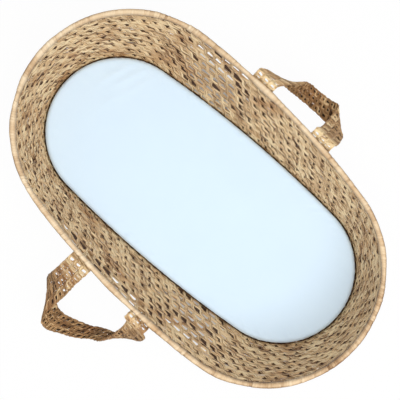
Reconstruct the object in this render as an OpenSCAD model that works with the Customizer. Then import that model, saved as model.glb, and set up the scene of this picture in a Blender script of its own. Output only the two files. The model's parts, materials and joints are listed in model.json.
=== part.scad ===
// Moses basket: one long strip of flat palm-leaf plait, wound and sewn edge to edge into a base
// and a leaning wall, with a wrapped rim, two plaited carrying handles and a sheeted mattress.
// X runs along the base, Z = 0 is the floor, and the origin is the middle of the base.

/* [Base] */
// Length of the base over its outer turn
base_length = 680; // [640:1:740]
// Width of the base over its outer turn
base_width = 296; // [270:1:330]
// Radius of the base's rounded ends, as a share of half its width
base_end_ratio = 0.94; // [0.85:0.005:0.98]
// Thickness of the plait in the base
base_thickness = 8; // [6:0.5:11]
// Turns of plait round the centre strip
base_turns = 6; // [4:1:8]

/* [Wall] */
// Height of the wall's top edge above the floor, below the rim
wall_top = 232; // [190:1:270]
// Turns of plait in the wall
wall_courses = 10; // [7:1:12]
// Thickness of the plait in the middle of its width
plait_thickness = 8; // [6:0.5:10]
// Thickness of the plait along its sewn edges
plait_edge = 4.4; // [3:0.2:6]
// Space that the sewing leaves between two turns
seam_gap = 0.3; // [0.2:0.05:0.6]

/* [Mouth] */
// Length over the rim
rim_length = 740; // [720:1:800]
// Width over the rim
rim_width = 434; // [400:1:470]
// Radius of the mouth's rounded ends, as a share of half its width
rim_end_ratio = 0.945; // [0.85:0.005:0.98]
// Turn of the mouth against the base, as the hand-wound wall works round
rim_turn = -6.1; // [-7:0.1:7]
// Shift of the mouth along the base
rim_shift = -5; // [-8:0.5:8]
// Diameter of the bundle of stems in the rim
rim_core_d = 8; // [6:0.5:10]
// Thickness of the leaf strip wrapped round the rim
rim_wrap = 1.8; // [1.2:0.1:2.4]
// How far the strip reaches down over the wall's top edge
wrap_drop = 4; // [3:0.5:6]

/* [Handles] */
// Width of the flat plaited strap
strap_width = 44; // [36:1:48]
// Thickness of the strap
strap_thickness = 6; // [5:0.5:7]
// Distance between the two roots of a handle
root_spacing = 139; // [130:1:150]
// Place of both handles along the rim, from its middle
handle_along = 7; // [-20:1:20]
// Height of the handles' swing axis below the middle of the rim
hinge_drop = 3; // [2:0.5:5]
// Radius of the fold at each root, which the strap swings on
fold_radius = 8; // [7:0.5:9]
// Length of each strap tail sewn down on the wall
tail_length = 62; // [45:1:80]
// Clearance between the swinging strap and its fold
swing_gap = 0.3; // [0.2:0.05:0.5]

/* [Mattress] */
// Height of the mattress's top above the floor
mattress_top = 50; // [44:1:56]
// Space between the sheet and the wall
mattress_gap = 1.6; // [1.2:0.1:4]
// Rounding of the mattress's top edge
mattress_round = 12; // [8:1:15]
// Thickness of the zipped cotton cover
cover_thickness = 1.2; // [0.8:0.1:2]
// Thickness of the fitted sheet
sheet_thickness = 0.8; // [0.5:0.1:1.5]
// Space between the foam, its cover and the sheet
layer_gap = 0.3; // [0.2:0.05:0.5]
// How far the sheet turns in under the mattress
sheet_hem = 42; // [30:1:60]
// Diameter of the elastic in the hem
elastic_d = 3; // [2:0.5:4]

/* [Hidden] */

// Straight steps along each half side and round each half end of an oval
side_steps = 3;
end_steps = 8;

// An oval is [half length, half width, end radius, turn, shift along X].
wrap_gap = 0.2;
rim_radius = rim_core_d / 2 + wrap_gap + rim_wrap;
rim_z = wall_top + seam_gap + rim_radius;
wall_foot = base_thickness + seam_gap;
half_plait = plait_thickness / 2;
base_outer = [base_length / 2, base_width / 2, base_width / 2 * base_end_ratio, 0, 0];
base_oval = grow(base_outer, -half_plait);
rim_outer = [rim_length / 2, rim_width / 2, rim_width / 2 * rim_end_ratio, rim_turn, rim_shift];
rim_oval = grow(rim_outer, -rim_radius);

// Leaf and cloth colours
leaf = [0.76, 0.62, 0.44];
leaf_dark = [0.62, 0.47, 0.30];
leaf_pale = [0.92, 0.82, 0.64];
sheet_blue = [0.84, 0.92, 0.98];
foam_white = [0.95, 0.94, 0.90];
ticking = [0.97, 0.97, 0.96];
elastic_white = [0.93, 0.93, 0.93];

// ---- Ovals of four arcs -------------------------------------------------------------------

// Radius of the long side arcs of an oval, and the angle that half of one spans
function side_radius(o) = (pow(o[0] - o[2], 2) + o[1] * o[1] - o[2] * o[2]) / (2 * (o[1] - o[2]));
function side_angle(o) = atan((o[0] - o[2]) / (side_radius(o) - o[1]));
function grow(o, d) = [o[0] + d, o[1] + d, o[2] + d, o[3], o[4]];
function turned(p, angle) = [p.x * cos(angle) - p.y * sin(angle), p.x * sin(angle) + p.y * cos(angle)];

// Quarter of an oval from its end at +X towards its side at +Y, which the next quarter starts with
function quarter(o) = let (s = side_radius(o), j = side_angle(o)) concat(
    [for (i = [0:end_steps - 1]) let (t = (90 - j) * i / end_steps)
        [o[0] - o[2] + o[2] * cos(t), o[2] * sin(t)]],
    [for (i = [0:side_steps - 1]) let (t = 90 - j + j * i / side_steps)
        [s * cos(t), o[1] - s + s * sin(t)]]
);
function oval_loop(o) = let (q = quarter(o), n = len(q) - 1) concat(
    q,
    [[0, o[1]]], [for (i = [n:-1:1]) [-q[i].x, q[i].y]],
    [for (p = q) -p],
    [[0, -o[1]]], [for (i = [n:-1:1]) [q[i].x, -q[i].y]]
);
function ring_at(o, z) = [for (p = oval_loop(o)) let (t = turned(p, o[3])) [t.x + o[4], t.y, z]];

// The wall's middle surface at a share of its height, from its foot to its top edge
function wall_oval(share) = base_oval + (rim_oval - base_oval) * share;
function wall_z(share) = wall_foot + (wall_top - wall_foot) * share;
function wall_share(z) = (z - wall_foot) / (wall_top - wall_foot);

// ---- Solids from a stack of loops -----------------------------------------------------------

// Two triangles for each step round between one loop and the next
function band(i, j, m) = [for (k = [0:m - 1]) let (l = (k + 1) % m)
    each [[i * m + k, j * m + k, j * m + l], [i * m + k, j * m + l, i * m + l]]];

// A ring whose section is closed: the last loop joins the first
module closed_ring(loops) {
    m = len(loops[0]);
    n = len(loops);
    polyhedron([for (l = loops) each l], [for (i = [0:n - 1]) each band(i, (i + 1) % n, m)], 4);
}

// A solid closed by its first loop below and its last loop above
module closed_stack(loops) {
    m = len(loops[0]);
    n = len(loops);
    polyhedron(
        [for (l = loops) each l],
        concat(
            [for (i = [0:n - 2]) each band(i, i + 1, m)],
            [[for (k = [0:m - 1]) k]],
            [[for (k = [m - 1:-1:0]) (n - 1) * m + k]]
        ),
        4
    );
}

// ---- Base -------------------------------------------------------------------------------------

// The turns lie on the floor: flat underneath, rounded on top, thinner along the sewn edges. The
// centre strip is a little wider than the rest.
base_plait = base_width / (2 * base_turns + 1.2);
base_edge = base_thickness * 0.55;
edge_round = base_plait * 0.2;

module base_centre() {
    outer = grow(base_outer, -base_turns * base_plait);
    color(leaf) closed_stack([
        ring_at(outer, 0), ring_at(outer, base_edge), ring_at(grow(outer, -edge_round), base_thickness)
    ]);
}

// Turn 1 is the innermost. The last one carries the wall, and the sewing pulls it flat below it.
module base_turn(i) {
    out = -(base_turns - i) * base_plait;
    in = out - base_plait + seam_gap;
    outer_edge = i == base_turns
        ? [[out, base_edge], [out - (half_plait - plait_edge / 2), base_thickness]]
        : [[out, base_edge]];
    section = concat([[in, 0], [out, 0]], outer_edge, [[(in + out) / 2, base_thickness], [in, base_edge]]);
    color(leaf) closed_ring([for (s = section) ring_at(grow(base_outer, s[0]), s[1])]);
}

// ---- Wall -------------------------------------------------------------------------------------

// One turn of plait: thick in the middle and thin along the edges, leaning as the wall does there.
module wall_course(i) {
    gap = seam_gap / 2 / (wall_top - wall_foot);
    low = (i - 1) / wall_courses + (i == 1 ? 0 : gap);
    high = i / wall_courses - (i == wall_courses ? 0 : gap);
    mid = (low + high) / 2;
    section = [
        [low, -plait_edge / 2], [low, plait_edge / 2], [mid, half_plait],
        [high, plait_edge / 2], [high, -plait_edge / 2], [mid, -half_plait]
    ];
    color(leaf) closed_ring([for (s = section) ring_at(grow(wall_oval(s[0]), s[1]), wall_z(s[0]))]);
}

// ---- Rim --------------------------------------------------------------------------------------

module round_ring(o, z, radius, sides) {
    closed_ring([for (i = [0:sides - 1]) let (t = 360 * i / sides)
        ring_at(grow(o, -radius * cos(t)), z + radius * sin(t))]);
}

rim_sides = 8;
module rim_core() {
    color(leaf_dark) round_ring(rim_oval, rim_z, rim_core_d / 2, rim_sides);
}

// The strip goes over the core and down both sides of the wall's top edge, where it is sewn through.
wrap_inner = rim_core_d / 2 + wrap_gap;
wrap_clear = plait_edge / 2 + (half_plait - plait_edge / 2) * 2 * wrap_drop
    / (wall_top - wall_foot) * wall_courses + seam_gap;

function wrap_arc(radius, way) = [
    for (i = [2:-1:-2]) let (t = way * i * 360 / rim_sides)
        ring_at(grow(rim_oval, radius * sin(t)), rim_z + radius * cos(t))
];
function wrap_foot(d) = ring_at(grow(wall_oval(wall_share(wall_top - wrap_drop)), d), wall_top - wrap_drop);

module rim_binding() {
    color(leaf_pale) closed_ring(concat(
        wrap_arc(rim_radius, 1),
        [wrap_foot(-wrap_clear - rim_wrap), wrap_foot(-wrap_clear)],
        wrap_arc(wrap_inner, -1),
        [wrap_foot(wrap_clear), wrap_foot(wrap_clear + rim_wrap)]
    ));
}

// ---- Handles ----------------------------------------------------------------------------------

// The back handle is at +Y (side 1) and the front handle at -Y (side -1). Each has its own frame:
// x along the swing axis, y outwards and z up, from the middle of the axis.
mouth_radius = side_radius(rim_outer);
mouth_centre = mouth_radius - rim_width / 2;
root_inner = (root_spacing - strap_width) / 2;
mouth_bow = mouth_radius - sqrt(pow(mouth_radius, 2) - pow(root_inner, 2));
hinge_z = rim_z - hinge_drop;
hinge_out = mouth_radius - mouth_bow + fold_radius + swing_gap;

module handle_frame(side) {
    translate([rim_shift, 0, hinge_z]) rotate(rim_turn)
        translate([0, -side * mouth_centre]) rotate(-side * handle_along / mouth_radius * 180 / PI)
            mirror([0, side < 0 ? 1 : 0, 0]) translate([0, hinge_out]) children();
}

// The same frame as plan vectors, so that a tail can be laid on the wall below it
function handle_turn(side) = rim_turn - side * handle_along / mouth_radius * 180 / PI;
function handle_plan(side, p) = turned([0, -side * mouth_centre], rim_turn) + [rim_shift, 0]
    + turned([p.x, side * (hinge_out + p.y)], handle_turn(side));

// Where the wall is, outwards from the axis, at a place along the axis and a share of its height
function wall_y(side, x, share, d) = let (
    o = grow(wall_oval(share), d),
    s = side_radius(o),
    centre = turned([0, -side * (s - o[1])], o[3]) + [o[4], 0],
    from = handle_plan(side, [x, 0]) - centre,
    out = turned([0, side], handle_turn(side)),
    reach = from * out
) sqrt(reach * reach - from * from + s * s) - reach;

// A tail lies sewn on the wall and stands off it at the top, past the rim's binding, to its fold.
tail_clear = half_plait + 2 * seam_gap;
tail_top = wall_top - seam_gap;
tail_bend = wall_top - wrap_drop - strap_thickness / 2;
tail_off = rim_radius + rim_wrap - tail_clear;
module tail(side, x) {
    corners = [[-1, 0], [0, 0], [1, 0], [1, 1], [0, 1], [-1, 1]];
    levels = [
        [tail_top - tail_length, 0], [tail_top - tail_length * 0.67, 0], [tail_top - tail_length * 0.33, 0],
        [tail_bend, 0], [tail_top, tail_off]
    ];
    closed_stack([for (l = levels) [for (c = corners) let (along = x + c[0] * strap_width / 2) [
        along,
        wall_y(side, along, wall_share(l[0]), tail_clear + l[1] + c[1] * strap_thickness),
        l[0] - hinge_z
    ]]]);
}

// The strap is turned over a fold at the top of its tail.
module root(side, end) {
    x = end * root_spacing / 2;
    color(leaf_pale) handle_frame(side) {
        tail(side, x);
        translate([x - strap_width / 2, 0, 0]) rotate([0, 90, 0])
            cylinder(h = strap_width, r = fold_radius, $fn = 48);
    }
}

// A strap's route from root to root: [along, out, up, heading, tilt, spread]. The first three are
// shares of half the root spacing. Heading and tilt point the strap's width: flat at the roots, on
// edge in the middle. Spread is more than 1 where the strap is folded and its crease lies slantwise.
front_route = [
    [-1, 0, 0, 0, 0, 1],
    [-1.02, 0.26, -0.32, 0, 0, 1],
    [-1.04, 0.69, -0.72, 4, 0, 1],
    [-0.99, 1.27, -1.27, 54, 2, 1.35],
    [-0.5, 1.61, -1.84, 86, 40, 1],
    [-0.11, 1.55, -2.07, 92, 41, 1],
    [0.28, 1.37, -2.16, 97, 46, 1],
    [0.59, 1.12, -2.06, 104, 50, 1],
    [0.84, 0.95, -1.76, 112, 46, 1],
    [1.12, 0.52, -1.21, 166, 22, 1],
    [1.14, 0.2, -0.6, 178, 4, 1],
    [1, 0, 0, 180, 0, 1]
];
back_route = [
    [-1, 0, 0, 0, 0, 1],
    [-0.86, 0.29, -0.55, 10, 4, 1],
    [-0.62, 0.49, -1.18, 24, 36, 1],
    [-0.42, 0.62, -1.55, 66, 44, 1],
    [-0.17, 0.73, -2.01, 84, 46, 1],
    [0.24, 0.81, -2.3, 90, 47, 1],
    [0.62, 0.86, -2.37, 96, 44, 1],
    [1.01, 0.85, -2.01, 147, 10, 1.13],
    [1.09, 0.5, -1.44, 168, 8, 1],
    [1.08, 0.22, -0.75, 178, 0, 1],
    [1, 0, 0, 180, 0, 1]
];

route_steps = 3;
function blend(a, b, c, d, t) = 0.5 * (
    2 * b + (c - a) * t + (2 * a - 5 * b + 4 * c - d) * t * t + (3 * b - a - 3 * c + d) * t * t * t
);
function unit(v) = v / norm(v);
function smooth_route(r) = let (n = len(r) - 1) concat(
    [for (i = [0:n - 1], k = [0:route_steps - 1]) blend(
        i == 0 ? 2 * r[0] - r[1] : r[i - 1], r[i], r[i + 1], i == n - 1 ? 2 * r[n] - r[n - 1] : r[i + 2],
        k / route_steps
    )],
    [r[n]]
);

// Flat section with rounded edges, as shares of half the width and half the thickness
strap_section = [
    [1, -0.35], [1, 0.35], [0.86, 1], [-0.86, 1], [-1, 0.35], [-1, -0.35], [-0.86, -1], [0.86, -1]
];
function strap_loops(route) = let (
    r = smooth_route(route),
    n = len(r) - 1,
    place = [for (p = r) [p[0], p[1], p[2]] * root_spacing / 2]
) [for (i = [0:n]) let (
    along = unit(place[min(i + 1, n)] - place[max(i - 1, 0)]),
    width = [cos(r[i][3]) * cos(r[i][4]), sin(r[i][3]) * cos(r[i][4]), sin(r[i][4])],
    w = width * r[i][5] * strap_width / 2,
    t = unit(cross(along, w)) * strap_thickness / 2
) [for (s = strap_section) place[i] + w * s[0] + t * s[1]]];

module handle(side, route) {
    color(leaf_dark) handle_frame(side) difference() {
        closed_stack([for (l = strap_loops(route)) [for (i = [len(l) - 1:-1:0]) l[i]]]);
        translate([-root_spacing / 2 - strap_width, 0, 0]) rotate([0, 90, 0])
            cylinder(h = root_spacing + 2 * strap_width, r = fold_radius + swing_gap, $fn = 48);
    }
}

// ---- Mattress ---------------------------------------------------------------------------------

// The sheet's outside follows the wall with a small space, and the layers lie one inside another.
sheet_under = base_thickness + layer_gap + elastic_d - sheet_thickness;
hem_inner = sheet_hem + 2 * layer_gap + elastic_d;
function mattress_oval(z, inset) = grow(wall_oval(wall_share(z)), -half_plait - mattress_gap - inset);

// Loops of a mattress shape that lies a given depth inside the sheet's outer face
function mattress_loops(depth) = let (
    round = mattress_round - depth,
    low = sheet_under + depth,
    top = mattress_top - depth
) [
    ring_at(mattress_oval(low + round * 0.3, depth + round * 0.3), low),
    ring_at(mattress_oval(low + round * 0.3, depth), low + round * 0.3),
    ring_at(mattress_oval(top - round, depth), top - round),
    ring_at(mattress_oval(top - round, depth + round * 0.29), top - round * 0.29),
    ring_at(mattress_oval(top - round, depth + round), top)
];
cover_depth = sheet_thickness + layer_gap;
foam_depth = cover_depth + cover_thickness + layer_gap;

// Inside the sheet's hem the foam settles lower, so that its cover rests on the base.
function settled_loops(depth, down) = let (foot = mattress_oval(base_thickness, hem_inner + down)) concat(
    [ring_at(foot, base_thickness + layer_gap + down), ring_at(foot, sheet_under + depth)],
    mattress_loops(depth)
);

module mattress_foam() {
    color(foam_white) closed_stack(settled_loops(foam_depth, cover_thickness + layer_gap));
}

module mattress_cover() {
    color(ticking) difference() {
        closed_stack(settled_loops(cover_depth, 0));
        closed_stack(settled_loops(cover_depth + cover_thickness, cover_thickness));
    }
}

// The sheet is open underneath, inside its hem.
module fitted_sheet() {
    hem = mattress_oval(sheet_under, sheet_hem);
    color(sheet_blue) difference() {
        closed_stack(mattress_loops(0));
        closed_stack(mattress_loops(sheet_thickness));
        closed_stack([ring_at(hem, 0), ring_at(hem, sheet_under + 2 * sheet_thickness)]);
    }
}

module sheet_elastic() {
    inset = sheet_hem + layer_gap + elastic_d / 2;
    z = sheet_under + sheet_thickness - elastic_d / 2;
    color(elastic_white) round_ring(mattress_oval(sheet_under, inset), z, elastic_d / 2, 6);
}

base_centre();
for (i = [1:base_turns]) base_turn(i);
for (i = [1:wall_courses]) wall_course(i);
rim_core();
rim_binding();
root(-1, -1);  // front_left_root
root(-1, 1);  // front_right_root
root(1, -1);  // back_left_root
root(1, 1);  // back_right_root
handle(-1, front_route);  // front_handle
handle(1, back_route);  // back_handle
mattress_foam();
mattress_cover();
fitted_sheet();
sheet_elastic();
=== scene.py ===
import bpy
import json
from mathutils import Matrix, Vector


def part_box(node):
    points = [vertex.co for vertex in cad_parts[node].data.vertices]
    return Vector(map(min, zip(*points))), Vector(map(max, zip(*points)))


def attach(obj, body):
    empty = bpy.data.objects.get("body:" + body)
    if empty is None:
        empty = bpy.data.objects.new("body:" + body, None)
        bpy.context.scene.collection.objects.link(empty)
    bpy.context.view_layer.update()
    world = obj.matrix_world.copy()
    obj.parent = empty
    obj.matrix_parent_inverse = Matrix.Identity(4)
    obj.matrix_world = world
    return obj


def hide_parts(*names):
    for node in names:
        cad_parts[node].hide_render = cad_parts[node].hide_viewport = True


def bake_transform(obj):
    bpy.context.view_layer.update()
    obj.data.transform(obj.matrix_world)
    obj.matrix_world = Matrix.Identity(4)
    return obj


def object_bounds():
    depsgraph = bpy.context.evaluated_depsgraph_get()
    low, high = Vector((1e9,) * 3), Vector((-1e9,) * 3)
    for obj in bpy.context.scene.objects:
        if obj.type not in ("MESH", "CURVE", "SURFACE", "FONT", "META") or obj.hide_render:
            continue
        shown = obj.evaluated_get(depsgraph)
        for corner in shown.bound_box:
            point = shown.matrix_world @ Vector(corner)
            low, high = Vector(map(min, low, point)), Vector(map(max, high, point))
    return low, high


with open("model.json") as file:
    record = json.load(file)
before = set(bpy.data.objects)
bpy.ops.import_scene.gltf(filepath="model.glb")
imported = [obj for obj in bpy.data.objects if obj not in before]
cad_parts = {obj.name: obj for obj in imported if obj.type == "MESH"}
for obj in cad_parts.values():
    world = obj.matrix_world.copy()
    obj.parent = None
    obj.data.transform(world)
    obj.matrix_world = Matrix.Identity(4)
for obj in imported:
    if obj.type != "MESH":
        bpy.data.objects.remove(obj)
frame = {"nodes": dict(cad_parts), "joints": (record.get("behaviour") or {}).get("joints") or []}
cad_box = [list(corner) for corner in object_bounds()]

import json
import math

import bpy
import numpy as np
from mathutils import Vector

bpy.context.scene.view_settings.view_transform = "Standard"


# ---- Studio ------------------------------------------------------------------
# A plain pale floor under soft overhead light. The camera hangs over the middle of the basket
# and looks straight down, turned so that the basket lies slantwise from upper left.
def new_finish(name):
    """An empty procedural material: it, what adds a node, what wires two sockets, its shader."""
    material = bpy.data.materials.new(name)
    material.use_nodes = True
    nodes = material.node_tree.nodes

    def add(kind, values=(), **settings):
        node = nodes.new(f"ShaderNode{kind}")
        for setting, value in settings.items():
            setattr(node, setting, value)
        for socket, value in dict(values).items():
            node.inputs[socket].default_value = value
        return node

    return material, add, material.node_tree.links.new, nodes["Principled BSDF"]


def oval_of(node):
    """Half length, half width, turn and shift of the oval that a ring of the CAD frame follows."""
    co = np.array([v.co for v in frame["nodes"][node].data.vertices], float)
    middle = (co.min(0) + co.max(0)) / 2
    plan = co[:, :2] - middle[:2]
    ways = np.linalg.eigh(plan.T @ plan)[1]
    long_way = ways[:, 1] * np.sign(ways[0, 1])
    turn = math.atan2(long_way[1], long_way[0])
    along = plan @ long_way
    aside = plan @ np.array([-long_way[1], long_way[0]])
    return np.array([np.abs(along).max(), np.abs(aside).max(), turn, middle[0]])


floor_gap = 0.0006
bpy.ops.object.select_all(action="DESELECT")
bpy.ops.mesh.primitive_plane_add(size=14, location=(0, 0, cad_box[0][2] - floor_gap))
floor = bpy.context.object
floor.name = "studio_floor"
floor_paint, add, wire, shader = new_finish("floor_paint")
shader.inputs["Base Color"].default_value = (0.86, 0.86, 0.87, 1)
shader.inputs["Roughness"].default_value = 0.9
white_card = add("Emission", {"Color": (1, 1, 1, 1)})
seen = add("LightPath")

# the white ends at the mouth's outline, so that the floor below the basket stays in its shade
mouth_edge = oval_of("rim_binding")
card_begins, card_full, card_share = 0.024, 0.006, 0.96
place = add("TexCoord")
squared = add("VectorRotate", {"Center": (mouth_edge[3], 0, 0), "Angle": -mouth_edge[2]},
              rotation_type="Z_AXIS")
wire(place.outputs["Object"], squared.inputs["Vector"])
shade = squared.outputs[0]
spine = (mouth_edge[0] - mouth_edge[1], 0.0, 9)
for operation, second in (("SUBTRACT", (mouth_edge[3], 0, 0)), ("ABSOLUTE", None),
                          ("SUBTRACT", spine), ("MAXIMUM", (0, 0, 0)), ("LENGTH", None)):
    step = add("VectorMath", {} if second is None else {1: second}, operation=operation)
    wire(shade, step.inputs[0])
    shade = step.outputs["Value"] if operation == "LENGTH" else step.outputs[0]
share = add("MapRange", {"From Min": mouth_edge[1] - card_begins,
                         "From Max": mouth_edge[1] - card_full, "To Max": card_share})
wire(shade, share.inputs["Value"])
seen_share = add("Math", operation="MULTIPLY")
mixed = add("MixShader")
wire(seen.outputs["Is Camera Ray"], seen_share.inputs[0])
wire(share.outputs[0], seen_share.inputs[1])
wire(seen_share.outputs[0], mixed.inputs[0])
wire(shader.outputs[0], mixed.inputs[1])
wire(white_card.outputs[0], mixed.inputs[2])
wire(mixed.outputs[0], floor_paint.node_tree.nodes["Material Output"].inputs["Surface"])
floor.data.materials.append(floor_paint)

camera_turn = math.radians(39.4)
bpy.ops.object.camera_add(location=(-0.0012, 0.0002, 2.25), rotation=(0, 0, camera_turn))
camera = bpy.context.object
camera.data.lens = 106.7
camera.data.sensor_width = 36
camera.data.clip_end = 30
bpy.context.scene.camera = camera

world = bpy.data.worlds.new("studio_sky")
world.use_nodes = True
sky = world.node_tree.nodes["Background"]
sky.inputs["Color"].default_value = (1.0, 0.985, 0.965, 1)
sky.inputs["Strength"].default_value = 0.40
bpy.context.scene.world = world


def softbox(name, place, size, power):
    """A square lamp that looks at the middle of the basket."""
    bpy.ops.object.light_add(type="AREA", location=place)
    lamp = bpy.context.object
    lamp.name = name
    lamp.data.size = size
    lamp.data.energy = power
    aim = Vector((0, 0, 0.05)) - Vector(place)
    lamp.rotation_euler = aim.to_track_quat("-Z", "Y").to_euler()


softbox("top_softbox", (0.1, 0, 3.1), 1.0, 41)
softbox("key_softbox", (1.0, -0.4, 2.5), 1.3, 29)


# ---- Base --------------------------------------------------------------------
# The base is the start of one long strip of flat palm-leaf plait: a short straight length in
# the middle, then oval turns round it, sewn edge to edge and pressed flat by the mattress.
rng = np.random.default_rng(41)

base_edge = oval_of("base_turn_6")
base_low, base_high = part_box("base_turn_6")
base_thick = base_high.z - base_low.z
base_round = 0.94


def oval_inside(edge, round_share, inset, turn=0.0, shift=0.0):
    """An oval of four arcs: its half length, half width, end radius, turn and shift."""
    half_long, half_wide = edge[:2]
    end = half_wide * round_share
    return np.array([half_long - inset, half_wide - inset, end - inset, turn, shift])


def oval_point(oval, at):
    """Points and outward directions in plan on an oval; at is the share of the way round it."""
    half_long, half_wide, end, turn, shift = oval
    side = ((half_long - end) ** 2 + half_wide ** 2 - end ** 2) / (2 * (half_wide - end))
    spread = np.arctan2(half_long - end, side - half_wide)
    quarter = np.mod(at, 1) * 4
    which = np.floor(quarter).astype(int) % 4
    share = quarter - np.floor(quarter)
    share = np.where(which % 2 == 0, share, 1 - share)
    end_arc = end * (math.pi / 2 - spread)
    way = share * (end_arc + side * spread)
    on_end = way < end_arc
    angle = np.where(on_end, way / end, math.pi / 2 - spread + (way - end_arc) / side)
    x = np.where(on_end, half_long - end + end * np.cos(angle), side * np.cos(angle))
    y = np.where(on_end, end * np.sin(angle), half_wide - side + side * np.sin(angle))
    flip_x = np.where((which == 1) | (which == 2), -1, 1)
    flip_y = np.where(which >= 2, -1, 1)
    x, y, nx, ny = x * flip_x, y * flip_y, np.cos(angle) * flip_x, np.sin(angle) * flip_y
    c, s = np.cos(turn), np.sin(turn)
    return x * c - y * s + shift, x * s + y * c, nx * c - ny * s, nx * s + ny * c


def grown(oval, by):
    return np.array([oval[0] + by, oval[1] + by, oval[2] + by, oval[3], oval[4]])


def oval_length(oval):
    x, y = oval_point(oval, np.linspace(0, 1, 721))[:2]
    return np.hypot(np.diff(x), np.diff(y)).sum()


def ripple(at, low, high, waves=6):
    """A smooth random wave round a ring, mostly within -1.5 and 1.5: low to high swings a turn."""
    swings = rng.integers(low, high + 1, waves)
    starts = rng.random(waves)
    total = sum(np.sin(2 * np.pi * (k * at + p)) for k, p in zip(swings, starts))
    return total / math.sqrt(waves / 2)


# section of one strip of leaf: shares of its half width and half thickness
leaf_round = np.array([(-1, 0), (-0.6, -0.85), (0.6, -0.85), (1, 0), (0.6, 0.85), (-0.6, 0.85)])
strands = 3


def plait(length, width, periods, leaves, steps, leaf_wide, leaf_thick, rise, closed=True,
          wander=0.35, loose=1.0, section=leaf_round, squeeze=None, crisp=5.0):
    """A flat plait laid out straight: points [leaf, step, section, (along, across, up)]."""
    crowding, lap, twist = 0.62, 0.94, 0.25
    sway, heave = 0.00012 * loose, 0.00018 * loose
    under, over = -0.0001, 0.00025
    slow, quick = (periods // 2, 2 * periods), (periods, 3 * periods)
    count = periods * steps
    even = np.arange(count) / count if closed else np.linspace(0, 1, count + 1)
    ends = 1 if closed else np.clip(np.minimum(even, 1 - even) * 12, 0, 1)
    pitch = leaf_wide * lap
    swing = (width - leaves * pitch) / 2
    drift_swings, drift_starts = rng.random(6), rng.random(6)
    points = []
    for strand in range(strands):
        # more of the points lie where the strand crosses than where it runs along an edge
        theta = 2 * np.pi * (periods * even + strand / strands)
        crowd = crowding * ends * np.sin(3 * theta - math.pi / 2) / 3
        at = even - crowd / (2 * np.pi * periods)
        along = at * length
        # no strand keeps quite in step with the others
        theta = 2 * np.pi * (periods * at + strand / strands)
        drift = sum(np.sin(2 * np.pi * (round(k) * at + q)) for k, q in zip(
            periods * (0.3 + 0.7 * drift_swings), drift_starts))
        theta = theta + wander * drift / 1.7
        theta = theta + 0.3 * wander * ripple(at, periods, 2 * periods)
        # a strand goes down behind the next one that comes up, and runs twice as far below
        lilt = np.clip(np.tanh(crisp * (np.sin(theta) - 0.5)) / math.tanh(crisp / 2), -1, 1)
        y = swing * (1 + 0.05 * loose * ripple(at, *slow)) * lilt
        if squeeze is not None:
            y = y * (width - leaves * pitch * squeeze(at)) / (2 * swing)
        n = -rise * np.tanh(2.2 * np.cos(theta)) / math.tanh(2.2)
        if closed:
            reach = np.mod(np.roll(along, -1) - np.roll(along, 1), length)
            slope = (np.roll(y, -1) - np.roll(y, 1)) / reach
        else:
            slope = np.gradient(y, along)
        norm = np.hypot(1, slope)
        for leaf in range(leaves):
            offset = (leaf - (leaves - 1) / 2) * pitch + sway * ripple(at, *quick)
            half = leaf_wide / 2 * (1 + 0.1 * ripple(at, *slow))
            if squeeze is not None:
                offset, half = offset * squeeze(at), half * squeeze(at)
            lift = n + (over if leaf % 2 else under) + heave * ripple(at, *quick)
            thick = leaf_thick / 2 * (1 + 0.12 * ripple(at, *slow))
            lean = twist * ripple(at, *slow)
            p = section[:, 0][None] * half[:, None]
            q = section[:, 1][None] * thick[:, None]
            c, s = np.cos(lean)[:, None], np.sin(lean)[:, None]
            p, q = p * c - q * s, p * s + q * c
            aside = offset[:, None] + p
            points.append(np.stack([
                along[:, None] - aside * (slope / norm)[:, None],
                y[:, None] + aside / norm[:, None],
                lift[:, None] + q,
            ], -1))
    return np.array(points)


def inner_leaf(length, count, middle, spread, half, thick, closed=True):
    """Two narrow strips of leaf along a plait that wander a little; toned dark inside a plait, they
    are painted shade in its slots.
    """
    at = np.arange(count) / count if closed else np.linspace(0, 1, count + 1)
    points = []
    for side in (-1, 1):
        y = middle + side * spread + 0.08 * half * ripple(at, count // 30, count // 6)
        wide = half * (1 + 0.08 * ripple(at, count // 30, count // 6))
        p = leaf_round[:, 0][None] * wide[:, None]
        q = leaf_round[:, 1][None] * thick / 2 + side * thick / 3
        points.append(np.stack([at[:, None] * length + 0 * p, y[:, None] + p, q + 0 * p], -1))
    return np.array(points)


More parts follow.
